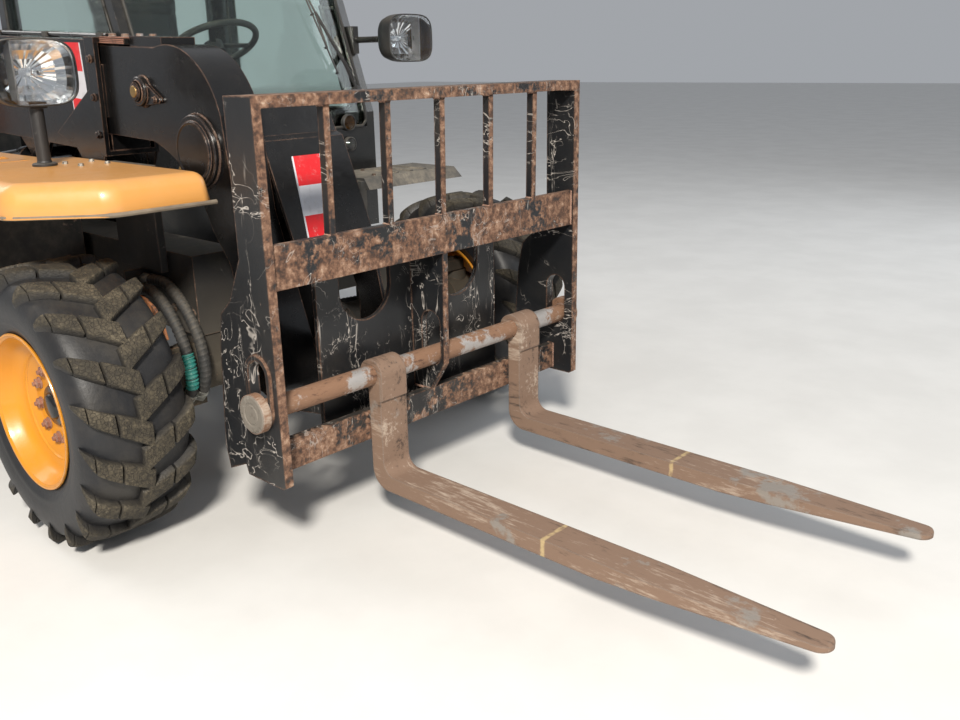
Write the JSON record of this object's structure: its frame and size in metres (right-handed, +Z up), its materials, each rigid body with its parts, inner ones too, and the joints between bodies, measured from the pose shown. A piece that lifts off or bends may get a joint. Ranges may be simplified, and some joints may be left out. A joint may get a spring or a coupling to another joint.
{
  "type": "telehandler",
  "caption": "Compact telescopic handler with a side cab, offset boom, four-wheel steering and a pallet fork carriage.",
  "frame": {"origin": "on the ground under the middle of the overall length and width", "axes": "+X forward along the boom's plan line, +Y to the driver's left, +Z up"},
  "size_m": [4.906, 1.97, 1.9993],
  "materials": {
    "tyre_rubber": "weathered rubber",
    "rim_yellow": "orange-yellow paint, rust at the nuts",
    "axle_black": "black paint, dusty",
    "chassis_black": "black paint, scratched",
    "boom_black": "gloss black paint",
    "body_yellow": "orange-yellow paint",
    "carriage_black": "black paint worn to rust",
    "fork_rust": "rusty bare steel",
    "steel_worn": "bare steel, worn bright and rusty",
    "cab_black": "satin black paint",
    "cab_glass": "green tinted glass",
    "seat_vinyl": "black vinyl",
    "trim_plastic": "grained plastic",
    "lamp_lens": "clear lens on a black case",
    "tail_red": "red lens",
    "chrome_rod": "hard chrome",
    "hose_rubber": "black sleeved rubber",
    "engine_grey": "grey paint"
  },
  "bodies": {
    "chassis": {"front_axle": "axle_black", "rear_axle": "axle_black", "chassis_frame": "chassis_black", "boom_tower": "chassis_black", "counterweight": "chassis_black", "cab_shell": "cab_black", "cab_glass": "cab_glass", "seat_base": "trim_plastic", "seat_cushion": "seat_vinyl", "seat_backrest": "seat_vinyl", "dashboard": "trim_plastic", "steering_wheel": "trim_plastic", "fender_front_right": "body_yellow", "fender_front_left": "trim_plastic", "fender_rear_left": "trim_plastic", "fender_rear_right": "trim_plastic", "headlamp_right": "lamp_lens", "headlamp_left": "lamp_lens", "engine_pod": "chassis_black", "engine_block": "engine_grey", "exhaust": "steel_worn", "tail_lamps": "tail_red", "fuel_tank": "chassis_black", "boom_hoses": "hose_rubber"},
    "boom_outer": {"boom_outer": "boom_black"},
    "boom_inner": {"boom_inner": "boom_black", "boom_head": "boom_black"},
    "lift_barrel": {"lift_barrel": "boom_black"},
    "lift_rod": {"lift_rod": "chrome_rod"},
    "tilt_rocker": {"tilt_rocker": "boom_black"},
    "tilt_link": {"tilt_link": "boom_black"},
    "carriage": {"carriage_frame": "carriage_black", "fork_shaft": "steel_worn"},
    "fork_right": {"fork_right": "fork_rust"},
    "fork_left": {"fork_left": "fork_rust"},
    "cab_door": {"cab_door": "cab_black", "door_glass": "cab_glass"},
    "engine_hood": {"engine_hood": "body_yellow"},
    "knuckle_front_right": {"knuckle_front_right": "axle_black"},
    "wheel_front_right": {"tyre_front_right": "tyre_rubber", "rim_front_right": "rim_yellow"},
    "knuckle_front_left": {"knuckle_front_left": "axle_black"},
    "wheel_front_left": {"tyre_front_left": "tyre_rubber", "rim_front_left": "rim_yellow"},
    "knuckle_rear_right": {"knuckle_rear_right": "axle_black"},
    "wheel_rear_right": {"tyre_rear_right": "tyre_rubber", "rim_rear_right": "rim_yellow"},
    "knuckle_rear_left": {"knuckle_rear_left": "axle_black"},
    "wheel_rear_left": {"tyre_rear_left": "tyre_rubber", "rim_rear_left": "rim_yellow"}
  },
  "joints": [
    {"name": "steer_front_right", "type": "hinge", "parent": "chassis", "child": "knuckle_front_right", "pos_m": [0.487, -0.735, 0.403], "axis": [0, 0, 1], "range_deg": [-28, 28]},
    {"name": "spin_front_right", "type": "hinge", "parent": "knuckle_front_right", "child": "wheel_front_right", "pos_m": [0.487, -0.813, 0.403], "axis": [0, 1, 0], "continuous": true},
    {"name": "steer_front_left", "type": "hinge", "parent": "chassis", "child": "knuckle_front_left", "pos_m": [0.487, 0.735, 0.403], "axis": [0, 0, 1], "range_deg": [-28, 28]},
    {"name": "spin_front_left", "type": "hinge", "parent": "knuckle_front_left", "child": "wheel_front_left", "pos_m": [0.487, 0.813, 0.403], "axis": [0, 1, 0], "continuous": true},
    {"name": "steer_rear_right", "type": "hinge", "parent": "chassis", "child": "knuckle_rear_right", "pos_m": [-1.713, -0.735, 0.403], "axis": [0, 0, 1], "range_deg": [-28, 28]},
    {"name": "spin_rear_right", "type": "hinge", "parent": "knuckle_rear_right", "child": "wheel_rear_right", "pos_m": [-1.713, -0.813, 0.403], "axis": [0, 1, 0], "continuous": true},
    {"name": "steer_rear_left", "type": "hinge", "parent": "chassis", "child": "knuckle_rear_left", "pos_m": [-1.713, 0.735, 0.403], "axis": [0, 0, 1], "range_deg": [-28, 28]},
    {"name": "spin_rear_left", "type": "hinge", "parent": "knuckle_rear_left", "child": "wheel_rear_left", "pos_m": [-1.713, 0.813, 0.403], "axis": [0, 1, 0], "continuous": true},
    {"name": "boom_lift", "type": "hinge", "parent": "chassis", "child": "boom_outer", "pos_m": [-2.063, -0.35, 1.306], "axis": [0, -1, 0], "range_deg": [-2, 62]},
    {"name": "boom_extend", "type": "slide", "parent": "boom_outer", "child": "boom_inner", "axis": [0.999, 0, -0.0436], "range_m": [0, 1.5]},
    {"name": "lift_barrel_swing", "type": "hinge", "parent": "chassis", "child": "lift_barrel", "pos_m": [-1.663, -0.35, 0.85], "axis": [0, -1, 0], "range_deg": [-2.24, 63.47]},
    {"name": "lift_rod_slide", "type": "slide", "parent": "lift_barrel", "child": "lift_rod", "axis": [0.9935, 0, 0.1141], "range_m": [-0.0221, 0.626]},
    {"name": "carriage_tilt", "type": "hinge", "parent": "boom_inner", "child": "carriage", "pos_m": [0.857, -0.15, 0.45], "axis": [0, 1, 0], "range_deg": [-15, 100]},
    {"name": "rocker_swing", "type": "hinge", "parent": "boom_inner", "child": "tilt_rocker", "pos_m": [0.619, -0.15, 1.07], "axis": [0, 1, 0], "range_deg": [-15.2, 100.2]},
    {"name": "link_swing", "type": "hinge", "parent": "tilt_rocker", "child": "tilt_link", "pos_m": [0.54628, -0.15, 0.93881], "axis": [0, 1, 0], "range_deg": [-100.2, 15.2]},
    {"name": "fork_right_swing", "type": "hinge", "parent": "carriage", "child": "fork_right", "pos_m": [1.115, -0.206, 0.463], "axis": [0, -1, 0], "range_deg": [0, 80]},
    {"name": "fork_left_swing", "type": "hinge", "parent": "carriage", "child": "fork_left", "pos_m": [1.115, 0.401, 0.463], "axis": [0, -1, 0], "range_deg": [0, 80]},
    {"name": "door_swing", "type": "hinge", "parent": "chassis", "child": "cab_door", "pos_m": [-1.1, 0.872, 1.3], "axis": [0, 0, 1], "range_deg": [0, 90]},
    {"name": "hood_swing", "type": "hinge", "parent": "chassis", "child": "engine_hood", "pos_m": [-0.6, -0.47, 1.002], "axis": [-1, 0, 0], "range_deg": [0, 55]}
  ],
  "couplings": [
    {"joint": "steer_front_right", "follows": "steer_front_left", "ratio": 1},
    {"joint": "steer_rear_right", "follows": "steer_rear_left", "ratio": 1},
    {"joint": "lift_barrel_swing", "follows": "boom_lift", "ratio": 1.0205},
    {"joint": "lift_rod_slide", "follows": "boom_lift", "m_per_rad": 0.57662},
    {"joint": "rocker_swing", "follows": "carriage_tilt", "ratio": 1},
    {"joint": "link_swing", "follows": "carriage_tilt", "ratio": -1}
  ]
}
